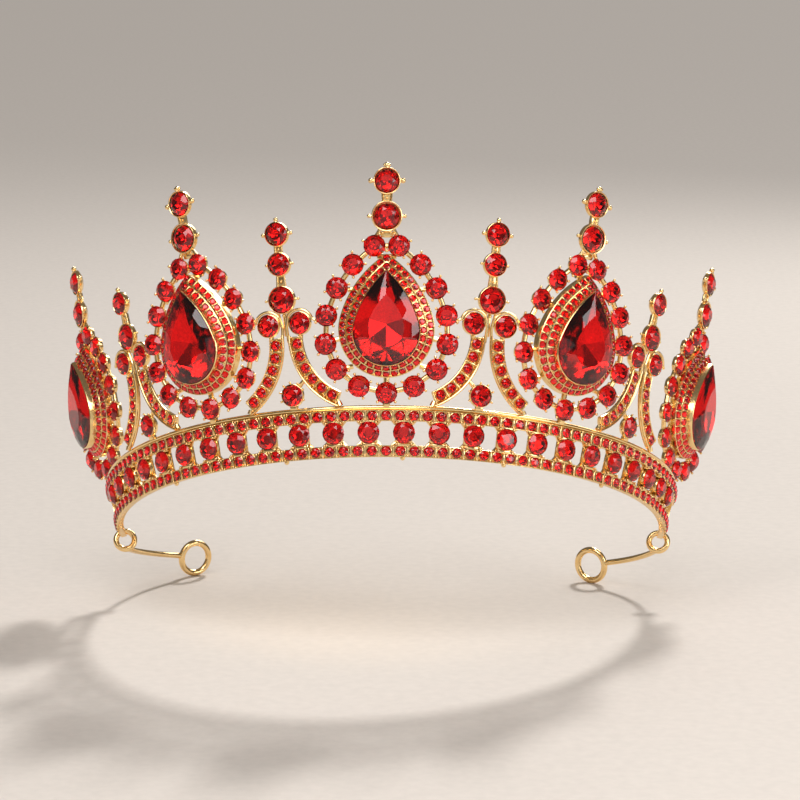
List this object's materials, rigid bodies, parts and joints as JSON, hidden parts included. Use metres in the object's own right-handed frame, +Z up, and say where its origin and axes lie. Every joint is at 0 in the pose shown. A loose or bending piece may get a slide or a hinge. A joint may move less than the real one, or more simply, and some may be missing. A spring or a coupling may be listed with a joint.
{
  "type": "tiara",
  "caption": "Open-backed tiara: flared gold band set with red glass stones, pear medallions, spires between them, and rear wire legs ending in rings.",
  "frame": {"origin": "centre of the band's circle, in the plane of the band's bottom edge, which is where a head sits", "axes": "+X to the right seen from the front, the front faces -Y, +Z up with the tiara leaned back by 27 degrees as it is worn and shown"},
  "size_m": [0.1914, 0.1107, 0.1352],
  "materials": {
    "gold_plate": "cast alloy plated pale gold, bright",
    "gold_wire": "drawn wire plated pale gold, bright",
    "pear_glass": "faceted ruby-red glass with a foiled back",
    "round_glass": "faceted ruby-red glass chatons with foiled backs",
    "small_glass": "faceted ruby-red glass chatons with foiled backs",
    "pave_glass": "tiny ruby-red glass chatons with foiled backs"
  },
  "bodies": {
    "root": {"lower_rail": "gold_plate", "upper_rail": "gold_plate", "top_wire": "gold_plate", "large_stone_settings": "gold_plate", "lower_rail_stones": "small_glass", "upper_rail_stones": "small_glass", "large_stones": "round_glass", "left_end_plate": "gold_plate", "right_end_plate": "gold_plate", "left_leg": "gold_wire", "right_leg": "gold_wire", "left_ring": "gold_wire", "right_ring": "gold_wire", "centre_ring_frame": "gold_plate", "centre_halo_plate": "gold_plate", "centre_pear_stone": "pear_glass", "centre_finial": "gold_plate", "centre_round_stones": "round_glass", "centre_pave_stones": "pave_glass", "left_ring_frame": "gold_plate", "left_halo_plate": "gold_plate", "left_pear_stone": "pear_glass", "left_finial": "gold_plate", "left_round_stones": "round_glass", "left_pave_stones": "pave_glass", "right_ring_frame": "gold_plate", "right_halo_plate": "gold_plate", "right_pear_stone": "pear_glass", "right_finial": "gold_plate", "right_round_stones": "round_glass", "right_pave_stones": "pave_glass", "far_left_ring_frame": "gold_plate", "far_left_halo_plate": "gold_plate", "far_left_pear_stone": "pear_glass", "far_left_finial": "gold_plate", "far_left_round_stones": "round_glass", "far_left_pave_stones": "pave_glass", "far_right_ring_frame": "gold_plate", "far_right_halo_plate": "gold_plate", "far_right_pear_stone": "pear_glass", "far_right_finial": "gold_plate", "far_right_round_stones": "round_glass", "far_right_pave_stones": "pave_glass", "inner_left_spire": "gold_plate", "inner_left_spire_stones": "round_glass", "inner_left_branches": "gold_plate", "inner_left_branch_stones": "small_glass", "inner_right_spire": "gold_plate", "inner_right_spire_stones": "round_glass", "inner_right_branches": "gold_plate", "inner_right_branch_stones": "small_glass", "outer_left_spire": "gold_plate", "outer_left_spire_stones": "round_glass", "outer_left_branches": "gold_plate", "outer_left_branch_stones": "small_glass", "outer_right_spire": "gold_plate", "outer_right_spire_stones": "round_glass", "outer_right_branches": "gold_plate", "outer_right_branch_stones": "small_glass"}
  },
  "joints": []
}
